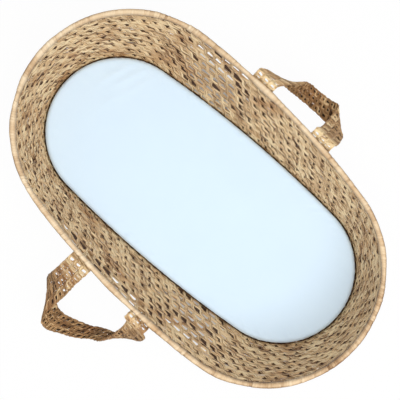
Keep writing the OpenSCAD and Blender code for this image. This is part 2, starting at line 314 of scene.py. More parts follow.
def leaf_mesh(name, groups, finish):
    """One mesh piece from groups of leaf strips: (points, tones, closed, step length)."""
    verts, faces, caps, maps, tones = [], [], [], [], []
    base = 0
    for points, tone, closed, step in groups:
        strips, rows, corners, _ = points.shape
        verts.append(points.reshape(-1, 3))
        tone = np.asarray(tone, float)
        tone = tone.reshape(tone.shape + (1,) * (3 - tone.ndim))
        tones.append(np.broadcast_to(tone, (strips, rows, corners)).reshape(-1))
        strip, row, corner = np.meshgrid(np.arange(strips), np.arange(rows if closed else rows - 1),
                                         np.arange(corners), indexing="ij")

        def index(row, corner):
            return base + (strip * rows + row % rows) * corners + corner % corners

        quads = [index(row, corner), index(row, corner + 1),
                 index(row + 1, corner + 1), index(row + 1, corner)]
        faces.append(np.stack(quads, -1).reshape(-1, 4))
        u0, u1, v0, v1 = row * step, (row + 1) * step, corner / corners, (corner + 1) / corners
        maps.append(np.stack([np.stack([u0, v0], -1), np.stack([u0, v1], -1),
                              np.stack([u1, v1], -1), np.stack([u1, v0], -1)], -2).reshape(-1, 2))
        if not closed:
            for number in range(strips):
                start = base + number * rows * corners
                last = start + (rows - 1) * corners
                caps.append(list(range(start + corners - 1, start - 1, -1)))
                caps.append(list(range(last, last + corners)))
        base += strips * rows * corners
    verts, faces, maps, tones = (np.concatenate(x) for x in (verts, faces, maps, tones))
    mesh = bpy.data.meshes.new(name)
    mesh.vertices.add(len(verts))
    mesh.vertices.foreach_set("co", verts.astype(np.float32).ravel())
    cap_loops = np.array([i for cap in caps for i in cap], int)
    loops = np.concatenate([faces.ravel(), cap_loops])
    mesh.loops.add(len(loops))
    mesh.loops.foreach_set("vertex_index", loops)
    sizes = np.array([4] * len(faces) + [len(cap) for cap in caps])
    mesh.polygons.add(len(sizes))
    mesh.polygons.foreach_set("loop_start", np.concatenate([[0], np.cumsum(sizes)[:-1]]))
    mesh.update(calc_edges=True)
    mesh.polygons.foreach_set("use_smooth", np.ones(len(sizes), bool))
    uv = np.zeros((len(loops), 2), np.float32)
    uv[:len(maps)] = maps
    mesh.uv_layers.new(name="along_leaf").uv.foreach_set("vector", uv.ravel())
    made = mesh.attributes.new("leaf_tone", "FLOAT", "POINT")
    made.data.foreach_set("value", tones.astype(np.float32))
    mesh.validate()
    piece = bpy.data.objects.new(name, mesh)
    bpy.context.scene.collection.objects.link(piece)
    mesh.materials.append(finish)
    return piece


def from_screen(red, green, blue):
    """A colour named on the screen's 0-255 scale, as the shaders' linear one."""
    parts = [c / 255 for c in (red, green, blue)]
    linear = [c / 12.92 if c <= 0.04045 else ((c + 0.055) / 1.055) ** 2.4 for c in parts]
    return (*linear, 1.0)


def leaf_finish(name, inner, dark, middle, pale, stain, stain_share, gloss):
    """Dried palm leaf: a tone for each strip, fine fibres along it, and patches stained by weather.
    """
    material, add, wire, shader = new_finish(name)
    tone = add("Attribute", attribute_name="leaf_tone")
    leaf_map = add("UVMap", uv_map="along_leaf")
    split = add("SeparateXYZ")
    wire(leaf_map.outputs[0], split.inputs[0])
    stretch = add("CombineXYZ")
    # the fibres are long along the leaf and fine across it, and differ from strip to strip
    sources = ((90, split.outputs[0]), (9, split.outputs[1]), (60, tone.outputs["Fac"]))
    for axis, (scale, source) in enumerate(sources):
        by = add("Math", {1: scale}, operation="MULTIPLY")
        wire(source, by.inputs[0])
        wire(by.outputs[0], stretch.inputs[axis])
    fibre = add("TexNoise", {"Scale": 1, "Detail": 3, "Roughness": 0.6})
    wire(stretch.outputs[0], fibre.inputs["Vector"])
    place = add("TexCoord")
    patches = add("TexNoise", {"Scale": 22, "Detail": 4})
    wire(place.outputs["Object"], patches.inputs["Vector"])

    # a strip's own tone, shifted a little by its fibres, picks the colour
    fibre_share = 0.5
    offset = add("Math", {1: fibre_share / 2}, operation="SUBTRACT")
    wire(tone.outputs["Fac"], offset.inputs[0])
    shift = add("Math", {1: fibre_share}, operation="MULTIPLY_ADD")
    wire(fibre.outputs["Fac"], shift.inputs[0])
    wire(offset.outputs[0], shift.inputs[2])
    colours = add("ValToRGB")
    ramp = colours.color_ramp.elements
    ramp[0].color = from_screen(*inner)
    ramp[0].position = 0
    ramp.new(0.12).color = from_screen(*dark)
    ramp[2].color = from_screen(*pale)
    ramp[2].position = 0.9
    ramp.new(0.48).color = from_screen(*middle)
    wire(shift.outputs[0], colours.inputs[0])
    spread = add("MapRange", {"From Min": 0.5, "From Max": 0.72, "To Max": stain_share})
    wire(patches.outputs["Fac"], spread.inputs["Value"])
    stained = add("Mix", {"B": from_screen(*stain)}, data_type="RGBA", blend_type="MULTIPLY")
    wire(spread.outputs[0], stained.inputs["Factor"])
    wire(colours.outputs[0], stained.inputs["A"])
    wire(stained.outputs["Result"], shader.inputs["Base Color"])
    rough = add("MapRange", {"To Min": gloss, "To Max": gloss + 0.25})
    wire(fibre.outputs["Fac"], rough.inputs["Value"])
    wire(rough.outputs[0], shader.inputs["Roughness"])
    bump = add("Bump", {"Strength": 0.6, "Distance": 0.0005})
    wire(fibre.outputs["Fac"], bump.inputs["Height"])
    wire(bump.outputs[0], shader.inputs["Normal"])
    shader.inputs["Specular IOR Level"].default_value = 0.35
    return material


plait_leaf = leaf_finish(
    "plaited_palm_leaf", inner=(78, 51, 32), dark=(146, 108, 72), middle=(222, 188, 142),
    pale=(248, 226, 184), stain=(196, 160, 122), stain_share=0.7, gloss=0.5,
)


def leaf_tones(count, middle=0.5, spread=0.14):
    return np.clip(rng.normal(middle, spread, count), 0.05, 0.95)


base_turns = 6
leaves_a_strand = 3
plait_leaves = strands * leaves_a_strand
plait_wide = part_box("base_turn_6")[1].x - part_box("base_turn_5")[1].x
seam = 0.0003
base_loop = 0.058
base_leaf = dict(leaves=leaves_a_strand, steps=18, leaf_wide=0.0046, leaf_thick=0.0018, rise=0.0020,
                 wander=0.15)
base_inner = dict(middle=0, spread=0.0036, half=0.0044, thick=0.0010)
# painted shade: these dark tones of the base's inner leaf stand in for the shade inside its slots
base_slot_shade_tones = np.array([0.0, 0.06])
centre_steps, ring_steps, base_step = 120, 240, 0.003
# each turn starts a seventh of the way round on from the one inside it
base_starts = 7
outer_oval = oval_inside(base_edge, base_round, 0)


def flat_ring(strip, line, around, start=0.0, level=base_thick / 2):
    """A straight strip laid flat round an oval, its under side up."""
    x, y, nx, ny = oval_point(line, strip[..., 0] / around + start)
    aside = strip[..., 1]
    return np.stack([x + nx * aside, y + ny * aside, level - strip[..., 2]], -1)


low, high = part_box("base_centre")
centre_long, centre_wide = high.x - low.x, high.y - low.y
strip = plait(centre_long, centre_wide, round(centre_long / base_loop), closed=False, **base_leaf)
hidden = inner_leaf(centre_long, centre_steps, closed=False, **base_inner)
groups = []
for part, tone in ((strip, leaf_tones(plait_leaves)), (hidden, base_slot_shade_tones)):
    laid = part + np.array([low.x, 0, base_thick / 2])
    laid[..., 0] = np.clip(laid[..., 0], low.x, high.x)
    groups.append((laid, tone, False, base_step))
piece = leaf_mesh("centre_plait", groups, plait_leaf)
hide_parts("base_centre")
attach(piece, "basket")

for turn in range(1, base_turns + 1):
    line = grown(outer_oval, -(base_turns - turn + 0.5) * plait_wide)
    around = oval_length(line)
    strip = plait(around, plait_wide - seam, round(around / base_loop), **base_leaf)
    hidden = inner_leaf(around, ring_steps, **base_inner)
    groups = []
    for part, tone in ((strip, leaf_tones(plait_leaves)), (hidden, base_slot_shade_tones)):
        laid = flat_ring(part, line, around, start=turn / base_starts)
        groups.append((laid, tone, True, base_step))
    piece = leaf_mesh(f"base_plait_{turn}", groups, plait_leaf)
    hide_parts(f"base_turn_{turn}")
    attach(piece, "basket")


# ---- Base sewing -------------------------------------------------------------
# The turns of the base are held together by one narrow strip of the same leaf, which winds
# through the loops of both neighbours, all along every seam.
leaf_sharp = np.array([(-1, 0), (0, -1), (1, 0), (0, 1)])
sewing_step = 0.002


def sewing(length, stitches, high, deep, steps=10):
    """A narrow strip of leaf that winds round a seam laid out straight, one turn to a stitch."""
    half_wide, half_thick = 0.0008, 0.0004
    at = np.arange(stitches * steps) / (stitches * steps)
    theta = 2 * np.pi * stitches * at + 0.8 * ripple(at, stitches // 5, stitches * 4 // 5)
    p = leaf_sharp[::-1, 0][None] * half_wide
    q = leaf_sharp[::-1, 1][None] * half_thick
    s, c = np.sin(theta)[:, None], np.cos(theta)[:, None]
    return np.stack([at[:, None] * length + p, (high + q) * s, (deep + q) * c], -1)[None]


rings = []
for turn in range(base_turns):
    line = grown(outer_oval, -(base_turns - turn) * plait_wide)
    around = oval_length(line)
    strip = sewing(around, strands * round(around / base_loop), high=0.0024, deep=0.0030)
    rings.append((flat_ring(strip, line, around), leaf_tones(1, 0.6, 0.1), True, sewing_step))
piece = leaf_mesh("base_sewing", rings, plait_leaf)
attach(piece, "basket")


# ---- Wall --------------------------------------------------------------------
# Ten more turns of the same plait, each sewn by its edge to the one below, so that the wall
# leans out. The loops of neighbouring turns meet and leave slots between them, laid like bricks.
courses = 10
half_wall = 0.004
rim_radius = 0.006
mouth_round = 0.945
wall_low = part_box("wall_course_1")[0].z
wall_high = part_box("wall_course_10")[1].z
wall_height = wall_high - wall_low
foot_oval = oval_inside(base_edge, base_round, half_wall, base_edge[2])
mouth_oval = oval_inside(mouth_edge, mouth_round, rim_radius, mouth_edge[2], mouth_edge[3])
loops_round = 30
slots_round = strands * loops_round
slot_steps = 6
hidden_steps = slots_round * slot_steps
wall_slant = 0.0228
wall_leaf = dict(leaves=leaves_a_strand, steps=26, leaf_wide=0.0033, leaf_thick=0.0011, rise=0.0011,
                 wander=0.12, loose=0.7, crisp=6.0)
wall_inner = dict(middle=0.0004, spread=0.0026, half=0.0036, thick=0.0005)
# painted shade: these dark tones of the wall's inner leaf stand in for the shade inside its slots
wall_slot_shade_tones = np.array([-0.14, -0.06])
bed_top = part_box("fitted_sheet")[1].z
bed_round = 0.009
bed_gap = 0.0016


def height_share(height):
    return (height - wall_low) / wall_height


def wall_oval(share):
    """The oval of the wall's middle at a share of its height, from the foot to the mouth."""
    return [foot + (mouth - foot) * share for foot, mouth in zip(foot_oval, mouth_oval)]


def wall_point(at, share, out):
    """A point of the leaning wall: share of the way round and of its height, and off its middle."""
    def middle(a, h):
        x, y = oval_point(wall_oval(h), a)[:2]
        return np.stack([x, y, wall_low + wall_height * h], -1)

    near = 1e-4
    centre = middle(at, share)
    round_way = middle(at + near, share) - middle(at - near, share)
    up_way = middle(at, share + near) - middle(at, share - near)
    normal = np.cross(round_way, up_way)
    normal /= np.linalg.norm(normal, axis=-1, keepdims=True)
    return centre + normal * out[..., None]


def brick_start(turn):
    """Where a turn of plait starts: half a slot on from the turn below, as bricks are laid."""
    return 0.5 * turn / strands / loops_round


def on_wall(strip, around, start, level, highest=0.998):
    """A straight strip laid on the wall: where it starts round it, and its level as a share."""
    share = level + strip[..., 1] / wall_slant / courses
    return wall_point(strip[..., 0] / around + start, np.clip(share, 0.002, highest), strip[..., 2])


def between(at, start, stop, soft=0.022):
    """1 inside a stretch of the way round, 0 outside it, with soft ends."""
    middle, half = (start + stop) / 2, (stop - start) / 2
    off = np.abs(np.mod(at - middle + 0.5, 1) - 0.5)
    return np.clip((half + soft - off) / (2 * soft), 0, 1)


def loosened(at, course):
    """1 where carrying has pulled the loops apart, in one run on each long side."""
    front_run = (0.79, 0.865) if course < 9 else (0.66, 0.80)
    return between(at, 0.28, 0.355) + between(at, *front_run)


def at_ends(at):
    """1 round the two ends of the oval, 0 along its sides."""
    return np.clip(np.cos(4 * np.pi * at) * 1.6 + 0.2, 0, 1)


def browned_and_shaded(tones, strip, around, start, level):
    """Tones of a turn's leaf: browner along its two edges, with painted shade in the gap beside the
    mattress's top edge and along each strip's side edges.
    """
    top_browner, foot_browner, gap_shade_darker, strip_edge_shade = 0.30, 0.20, 0.7, 0.66
    at = (strip[..., 0] / around + start).mean(-1)
    share = (level + strip[..., 1] / wall_slant / courses).mean(-1)
    across = strip[..., 1].mean(-1) / wall_slant
    foot, mouth = (np.stack(oval_point(oval, at)[:2], -1) for oval in (foot_oval, mouth_oval))
    run_out = np.linalg.norm(mouth - foot, axis=-1)
    # painted shade: a thin band of the leaf's inner face at the mattress's top edge is darkened,
    # where the gap beside the mattress lies in shade
    past_bed = run_out * (share - height_share(bed_top - bed_round))
    past_bed = past_bed + half_wall + bed_gap + strip[..., 2].mean(-1)
    gap_shade = np.clip((0.0042 - past_bed) / 0.001, 0, 1) * np.clip((past_bed + 0.002) / 0.001, 0, 1)
    tones = tones - top_browner * np.clip((across - 0.38) / 0.04, 0, 1)
    tones = tones - foot_browner * np.clip((-across - 0.40) / 0.03, 0, 1)
    inner_face = np.clip(0.5 - leaf_round[:, 1], 0, 1)
    tones = tones[..., None] - gap_shade_darker * gap_shade[..., None] * inner_face
    # painted shade: the two side edges of every leaf strip are darkened, as shade falls in the
    # crevices between strips
    return tones - strip_edge_shade * (np.abs(leaf_round[:, 0]) > 0.9)


for course in range(1, courses + 1):
    level = (course - 0.5) / courses
    start = brick_start(course)
    around = oval_length(wall_oval(level))

    def squeeze(at):
        """Share of its full width that leaf is laid at: less where the plait is pulled apart."""
        return 1.24 + 0.06 * at_ends(at + start) - 0.55 * loosened(at + start, course)

    open_plait = plait(around, wall_slant, loops_round, squeeze=squeeze, **wall_leaf)
    hidden = inner_leaf(around, hidden_steps, **wall_inner)
    steps_round = open_plait.shape[1]
    tones = leaf_tones(plait_leaves, 0.70, 0.17)[:, None]
    patchy = [ripple(np.arange(steps_round) / steps_round, 5, 60) for _ in range(plait_leaves)]
    tones = browned_and_shaded(tones + 0.13 * np.array(patchy), open_plait, around, start, level)
    groups = [(on_wall(open_plait, around, start, level), tones, True, around / steps_round)]

    # the inner leaf shows in most slots, its dark tone painted shade there, and where it is missing
    # one can see out
    slot_start = (np.arange(slots_round) + 0.25) / slots_round
    open_share = 0.10 + 0.75 * loosened(slot_start + 0.5 / slots_round + start, course)
    filled = rng.random(slots_round) > open_share
    first_open = int(np.argmin(filled))
    order = (np.arange(slots_round) + first_open) % slots_round
    runs = np.flatnonzero(np.diff(np.concatenate([[0], filled[order].astype(int), [0]])))
    for begin, end in runs.reshape(-1, 2):
        steps = np.arange(begin * slot_steps, end * slot_steps + 1) + first_open * slot_steps
        part = np.take(hidden, steps, axis=1, mode="wrap")
        part[..., 0] = ((steps / slot_steps + 0.25) * around / slots_round)[None, :, None]
        laid = on_wall(part, around, start, level)
        groups.append((laid, wall_slot_shade_tones, False, around / hidden_steps))
    piece = leaf_mesh(f"wall_plait_{course}", groups, plait_leaf)
    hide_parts(f"wall_course_{course}")
    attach(piece, "basket")


# ---- Wall sewing -------------------------------------------------------------
# The narrow strip of leaf that sews the base goes on up the wall from seam to seam. It passes
# through the meeting loops of two turns, one stitch to a slot, and holds turn to turn.
rings = []
for seam_number in range(courses):
    level = seam_number / courses
    around = oval_length(wall_oval(level))
    strip = sewing(around, slots_round, high=0.0024, deep=0.0019)
    laid = on_wall(strip, around, brick_start(seam_number), level, highest=0.99)
    rings.append((laid, leaf_tones(1, 0.6, 0.1), True, sewing_step))
piece = leaf_mesh("wall_sewing", rings, plait_leaf)
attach(piece, "basket")


# ---- Rim stems ---------------------------------------------------------------
# Five thin stems lie along the wall's top edge and twist slowly round each other. They stiffen
# the mouth, and are held by the wrapping alone.
rim_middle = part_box("rim_binding")[1].z - rim_radius
rim_around = oval_length(mouth_oval)


def rim_point(at, out, up):
    """A point near the rim: round it, outwards, and up from its middle; below it the wall leans."""
    height = rim_middle + up
    x, y, nx, ny = oval_point(wall_oval(np.minimum(1.0, height_share(height))), at)
    return np.stack([x + nx * out, y + ny * out, height], -1)


stem_leaf = leaf_finish(
    "rim_stems", inner=(60, 42, 26), dark=(70, 48, 28), middle=(120, 88, 56),
    pale=(160, 124, 86), stain=(150, 120, 90), stain_share=0.5, gloss=0.6,
)
stems, stem_steps, stem_twists, stem_half = 5, 300, 9, 0.0013
bundle_out, bundle_wide, bundle_high = 0.0008, 0.0019, 0.0021
stem_sides = 6
stem_round = np.array([(math.cos(t), math.sin(t)) for t in np.arange(stem_sides) * math.pi / 3])
at = np.arange(stem_steps) / stem_steps
bundle = []
for stem in range(stems):
    angle = 2 * np.pi * (stem / stems + stem_twists * at)
    out = bundle_out + bundle_wide * np.cos(angle)[:, None] + stem_half * stem_round[:, 0]
    up = bundle_high * np.sin(angle)[:, None] + stem_half * stem_round[:, 1]
    bundle.append(rim_point(np.repeat(at[:, None], stem_sides, 1), out, up)[:, ::-1])
stem_groups = [(np.array(bundle), leaf_tones(stems), True, rim_around / stem_steps)]
piece = leaf_mesh("rim_stem_bundle", stem_groups, stem_leaf)
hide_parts("rim_core")
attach(piece, "basket")


# ---- Rim wrapping ------------------------------------------------------------
# A pale strip of leaf is wound over the stems and through the top turn of the wall, wrap beside
# wrap, and makes the smooth cream lip of the mouth.
wrap_leaf = leaf_finish(
    "rim_wrapping_leaf", inner=(140, 108, 76), dark=(184, 150, 112), middle=(224, 197, 160),
    pale=(240, 220, 188), stain=(214, 184, 144), stain_share=0.5, gloss=0.45,
)
# one wrap seen along the rim: over the stems, down the wall's outside, through it and up again
wrap_path = np.array([
    (5.0, 0), (4.7, 2.1), (3.6, 4.0), (1.9, 5.1), (-0.3, 5.1), (-2.0, 4.0), (-3.0, 2.1),
    (-3.4, 0), (-3.4, -3.2), (-3.5, -6.4), (-3.0, -9.4), (-0.5, -10.6), (2.1, -10.6),
    (4.4, -9.4), (5.0, -6.4), (5.0, -3.2),
]) * 0.001
wraps = 430
wrap_half, wrap_thick, wrap_step = 0.0027, 0.00045, 0.0029
turn_steps = len(wrap_path)
count = wraps * turn_steps
at = np.arange(count) / count
path = np.tile(wrap_path, (wraps, 1))
way = np.roll(wrap_path, -1, 0) - np.roll(wrap_path, 1, 0)
normal = np.stack([way[:, 1], -way[:, 0]], -1)
normal /= np.linalg.norm(normal, axis=1, keepdims=True)
normal = np.tile(normal, (wraps, 1))

# every wrap lies a little differently, and goes over into the next one without a step
own = rng.normal(0, 1, wraps)
this_wrap, next_wrap = np.repeat(own, turn_steps), np.repeat(np.roll(own, -1), turn_steps)
into_next = np.tile(np.arange(turn_steps) / turn_steps, wraps)
uneven = this_wrap * (1 - into_next) + next_wrap * into_next
half = wrap_half * (1 + 0.07 * ripple(at, 100, 400))
p = leaf_round[:, 0][None] * half[:, None]
q = leaf_round[:, 1][None] * wrap_thick
lift = (0.00016 * uneven + 0.0004 * ripple(at, 8, 40))[:, None]
out = path[:, 0:1] + normal[:, 0:1] * (q + lift)
up = path[:, 1:2] + normal[:, 1:2] * (q + lift)
slip = 0.0003 * uneven[:, None]
laid = rim_point(at[:, None] + (p + slip) / rim_around, out, up)

# painted shade: the outer side of the wrapping is darker, the inside below the lip darker and
# browner, and so is one end
outer_shade = np.clip((path[:, 0] - 0.0030) / 0.0018, 0, 1)
inside = np.clip((-path[:, 1] - 0.001) / 0.002, 0, 1) * (path[:, 0] < 0)
tone = 0.56 + 0.13 * uneven + 0.07 * ripple(at, 3, 30) - 0.55 * outer_shade - 0.25 * inside
# painted shade: the wrapping is darker towards one end of the oval, where less light falls on it
tone = tone - 0.26 * np.clip(np.cos(2 * np.pi * (at + 0.02)), 0, 1) ** 2
wrapping = [(laid[None, :, ::-1], tone[None], True, wrap_step)]
piece = leaf_mesh("rim_wrapping", wrapping, wrap_leaf)
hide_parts("rim_binding")
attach(piece, "basket")


# ---- Handles -----------------------------------------------------------------
# Each handle is a flat plaited strap. Both ends are turned over the top of the wall's outside
# and sewn down on it, and the strap bends there, so it flops outwards or stands up to be held; here
# it is shaped flopped outwards only.
strap_wide = 0.044
strap_rows = 3
row_wide = (strap_wide - 0.0005) / strap_rows
row_overlap = 0.0009
strap_loop = 0.030
strap_leaves = 2
strap_plait = dict(leaves=strap_leaves, steps=20, leaf_wide=0.0029, leaf_thick=0.0015, rise=0.0012,
                   wander=0.2)
strap_inner = dict(middle=0, spread=0.0011, half=0.0014, thick=0.0005)
# painted shade: these dark tones of the strap's inner leaf stand in for the shade inside its slots
strap_slot_shade_tones = np.array([-0.3, -0.2])
strap_steps, bare_end = 200, 52
half_roots = 0.0695
tail_long = 0.062
tail_off = 0.0076
below_fold = 0.003
fold = 0.0053
row_steps, sewn_steps, freed_steps = 12, 112, 24
turn_easings, line_easings = 70, 8
# along, out and up as shares of half the distance between the roots, heading and tilt of the
# strap's width in degrees, and the share of its width that it is laid at
routes = {
    "front": [
        (-1.02, 0.26, -0.32, 0, 0, 1), (-1.04, 0.69, -0.72, 4, 0, 1),
        (-1.02, 1.30, -1.27, 52, 2, 1.35), (-0.57, 1.67, -1.84, 84, 33, 1),
        (-0.11, 1.55, -2.07, 92, 41, 1), (0.28, 1.37, -2.16, 97, 46, 1),
        (0.59, 1.12, -2.06, 104, 50, 1), (0.84, 0.95, -1.76, 112, 46, 1),
        (1.12, 0.52, -1.21, 166, 22, 1), (1.14, 0.2, -0.6, 178, 4, 1),
    ],
    "back": [
        (-0.86, 0.29, -0.55, 10, 4, 1), (-0.62, 0.49, -1.18, 24, 36, 1),
        (-0.42, 0.62, -1.55, 66, 44, 1), (-0.17, 0.73, -2.01, 84, 46, 1),
        (0.24, 0.81, -2.3, 90, 47, 1), (0.62, 0.86, -2.37, 96, 44, 1),
        (1.01, 0.85, -2.01, 147, 10, 1.13), (1.09, 0.5, -1.44, 168, 8, 1),
        (1.08, 0.22, -0.75, 178, 0, 1),
    ],
}
strap_leaf = leaf_finish(
    "strap_palm_leaf", inner=(52, 38, 26), dark=(112, 84, 56), middle=(184, 146, 102),
    pale=(244, 220, 174), stain=(200, 152, 108), stain_share=0.7, gloss=0.5,
)


def smooth_line(rows, parts):
    """A smooth line through the rows, as many parts to each step."""
    rows = np.vstack([2 * rows[0] - rows[1], rows, 2 * rows[-1] - rows[-2]])
    made = []
    for i in range(1, len(rows) - 2):
        a, b, c, d = rows[i - 1:i + 3]
        for t in np.arange(parts) / parts:
            made.append(0.5 * (2 * b + (c - a) * t + (2 * a - 5 * b + 4 * c - d) * t * t
                               + (3 * b - a - 3 * c + d) * t ** 3))
    made.append(rows[-2])
    return np.array(made)


def near_root(at):
    """1 at both ends of a strap, where it is sewn down, 0 along its middle."""
    return np.clip((np.abs(at - 0.5) * 2 - 0.50) / 0.2, 0, 1)


def drawn_out(at):
    """Share of its full width that a strap's leaf is laid at: less near the roots."""
    return 1.08 - 0.3 * near_root(at)


def strap_tones(tones, steps):
    """Tones along a strap: paler near its roots than along its middle, and a little patchy."""
    at = np.linspace(0, 1, steps)
    patchy = np.array([ripple(at, 2, 12) for _ in range(len(tones))])
    return tones[:, None] + 0.36 * near_root(at)[None] + 0.08 * patchy


for name, side in (("front", -1), ("back", 1)):
    joint = next(j for j in frame["joints"] if j["name"] == f"{name}_handle_swing")
    pivot = np.array(joint["pos_m"])
    x_way = np.array(joint["axis"]) * side
    out_way = side * np.array([-x_way[1], x_way[0], 0])
    to_frame = np.array([x_way, out_way, [0, 0, 1.0]])
    strap_body_tone = 0.36 if side < 0 else 0.42

    def wall_out(along, height):
        """How far out from the pivot the wall's middle is, at a place along it and a height."""
        at = np.linspace(0.15, 0.35, 801) + (0 if side > 0 else 0.5)
        x, y = oval_point(wall_oval(height_share(height)), at)[:2]
        places = np.stack([x, y], -1) - pivot[:2]
        a, o = places @ x_way[:2], places @ out_way[:2]
        order = np.argsort(a)
        return np.interp(along, a[order], o[order])

    def tail_rows(end, heading):
        """The sewn end: up the wall's outside, off it past the wrapping, and over the fold."""
        along = end * half_roots
        low, top = wall_high - seam - tail_long, wall_high - half_wall - below_fold
        rows = []
        for k in range(5):
            height = low + (top - low) * k / 4
            out = wall_out(along, height) + tail_off
            rows.append((along, out, height - pivot[2], heading, 0, 1))
        for angle in (180, 135, 90, 45, 0):
            t = math.radians(angle)
            rows.append((along, fold * math.cos(t), fold * math.sin(t), heading, 0, 1))
        return rows

    # the strap's line, its width and its way through, all eased between the two sewn ends
    middle = [tuple(np.array(row[:3]) * half_roots) + row[3:] for row in routes[name]]
    rows = np.array(tail_rows(-1, 0) + middle + tail_rows(1, 180)[::-1], float)
    fine = smooth_line(rows, row_steps)
    from_end = np.minimum(np.arange(len(fine)), np.arange(len(fine))[::-1])
    free = np.clip((from_end - sewn_steps) / freed_steps, 0, 1)[:, None]
    for step in range(turn_easings):
        eased = free[1:-1] * ((fine[2:] + fine[:-2]) / 2 - fine[1:-1])
        fine[1:-1, 3:] += 0.5 * eased[:, 3:]
        if step < line_easings:
            fine[1:-1, :3] += 0.5 * eased[:, :3]
    line = fine[:, :3]
    heading, tilt = np.radians(fine[:, 3]), np.radians(fine[:, 4])
    level_part = np.cos(tilt)
    width = np.stack([np.cos(heading) * level_part, np.sin(heading) * level_part, np.sin(tilt)], -1)
    thick_way = np.cross(np.gradient(line, axis=0), width)
    thick_way /= np.linalg.norm(thick_way, axis=1, keepdims=True)
    width = width * fine[:, 5:6]
    far = np.concatenate([[0], np.cumsum(np.linalg.norm(np.diff(line, axis=0), axis=1))])
    strap_long = far[-1]

    def on_strap(strip, aside=0.0):
        """A straight strip laid along the strap's line, moved aside to its place across it."""
        s = np.clip(strip[..., 0], 0, strap_long)
        on_line, across, through = (
            np.stack([np.interp(s, far, way[:, i]) for i in range(3)], -1)
            for way in (line, width, thick_way))
        flat = on_line + across * (strip[..., 1:2] + aside) + through * strip[..., 2:3]
        laid = pivot + flat @ to_frame
        return laid[:, :, ::-1] if side < 0 else laid

    groups = []
    for row in range(strap_rows):
        open_plait = plait(strap_long, row_wide + row_overlap, round(strap_long / strap_loop),
                           closed=False, squeeze=drawn_out, **strap_plait)
        tones = leaf_tones(strands * strap_leaves, strap_body_tone, 0.12)
        tones = strap_tones(tones, open_plait.shape[1])
        # the inner leaf, toned dark as painted shade in the slots, leaves off before the roots,
        # where the plait is drawn out and open
        hidden = inner_leaf(strap_long, strap_steps, closed=False, **strap_inner)
        hidden = hidden[:, bare_end:-bare_end]
        for strip, tone in ((open_plait, tones), (hidden, strap_slot_shade_tones)):
            laid = on_strap(strip, (row - 1) * row_wide)
            groups.append((laid, tone, False, strap_long / strip.shape[1]))
    # straight strips of leaf bind both edges and the joins between the three rows
    bindings = ((strap_wide / 2 - 0.0019, 0.0018, 0.0017, 0.26),
                (row_wide / 2, 0.0016, 0.0019, strap_body_tone))
    for aside, half, thick, tone in bindings:
        strip = inner_leaf(strap_long, strap_steps, 0, aside, half, thick, closed=False)
        tones = strap_tones(np.array([tone, tone]), strap_steps + 1)
        groups.append((on_strap(strip), tones, False, strap_long / strip.shape[1]))
    piece = leaf_mesh(f"{name}_strap_plait", groups, strap_leaf)
    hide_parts(f"{name}_handle", f"{name}_left_root", f"{name}_right_root")
    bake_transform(piece)


# ---- Mattress foam -----------------------------------------------------------
# A thin pad of polyether foam, cut to the basket's own oval shape and a little smaller. It is
# rounded along its top edge, lies loose on the base and lifts straight out.
bed_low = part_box("fitted_sheet")[0].z
around_bed = 440
hem_wide = 0.042


def bed_loop(height, inset, level):
    """One loop round the mattress: inset from the wall's inside at a height, laid at a level."""
    line = grown(wall_oval(height_share(height)), -half_wall - bed_gap - inset)
    x, y = oval_point(line, np.arange(around_bed) / around_bed)[:2]
    return np.stack([x, y, np.full(around_bed, level)], -1)


def shrunk(loop, by, level=None):
    middle = loop.mean(0)
    made = middle + (loop - middle) * (1 - by)
    if level is not None:
        made[:, 2] = level
    return made


def bed_rows(depth, crown, foot_inset=None, foot_level=None, top_rings=16):
    """Rows from the middle of the underside, out, up the side, over the rounding and inwards."""
    turn = bed_round - depth
    low, top = bed_low + depth, bed_top - depth
    rows = []
    if foot_inset is not None:
        foot = bed_loop(base_thick, foot_inset, foot_level)
        rows += [shrunk(foot, by) for by in (1, 0.8, 0.5, 0.2)]
        rows += [foot, bed_loop(base_thick, foot_inset, low)]
    for angle in range(-90, 1, 30):
        t = math.radians(angle)
        small = turn * 0.3
        level = low + small * (1 + math.sin(t))
        rows.append(bed_loop(low + small, depth + small * (1 - math.cos(t)), level))
    for height in (0.2, 0.35, 0.5, 0.65, 0.8):
        level = low + (top - turn - low) * height
        rows.append(bed_loop(level, depth, level))
    for angle in range(0, 91, 15):
        t = math.radians(angle)
        level = top - turn + turn * math.sin(t)
        rows.append(bed_loop(top - turn, depth + turn * (1 - math.cos(t)), level))
    edge = rows[-1]
    for k in range(1, top_rings + 1):
        by = k / top_rings
        rows.append(shrunk(edge, by, top + crown * (1 - (1 - by) ** 2)))
    return rows


def rolled(name, rows):
    """A cloth or foam skin: a grid rolled into the rows, each row a loop round the mattress."""
    bpy.ops.object.select_all(action="DESELECT")
    bpy.ops.mesh.primitive_grid_add(x_subdivisions=around_bed, y_subdivisions=len(rows) - 1, size=2,
                                    calc_uvs=True)
    piece = bpy.context.object
    piece.name = piece.data.name = name
    co = np.zeros(len(piece.data.vertices) * 3, np.float32)
    piece.data.vertices.foreach_get("co", co)
    co = co.reshape(-1, 3)
    column = np.rint((co[:, 0] + 1) / 2 * around_bed).astype(int) % around_bed
    row = np.rint((co[:, 1] + 1) / 2 * (len(rows) - 1)).astype(int)
    placed = np.array(rows)[row, column].astype(np.float32)
    piece.data.vertices.foreach_set("co", placed.ravel())
    bpy.ops.object.mode_set(mode="EDIT")
    bpy.ops.mesh.select_all(action="SELECT")
    bpy.ops.mesh.remove_doubles(threshold=0.00001)
    bpy.ops.mesh.normals_make_consistent(inside=False)
    bpy.ops.object.mode_set(mode="OBJECT")
    bpy.ops.object.shade_smooth()
    return piece


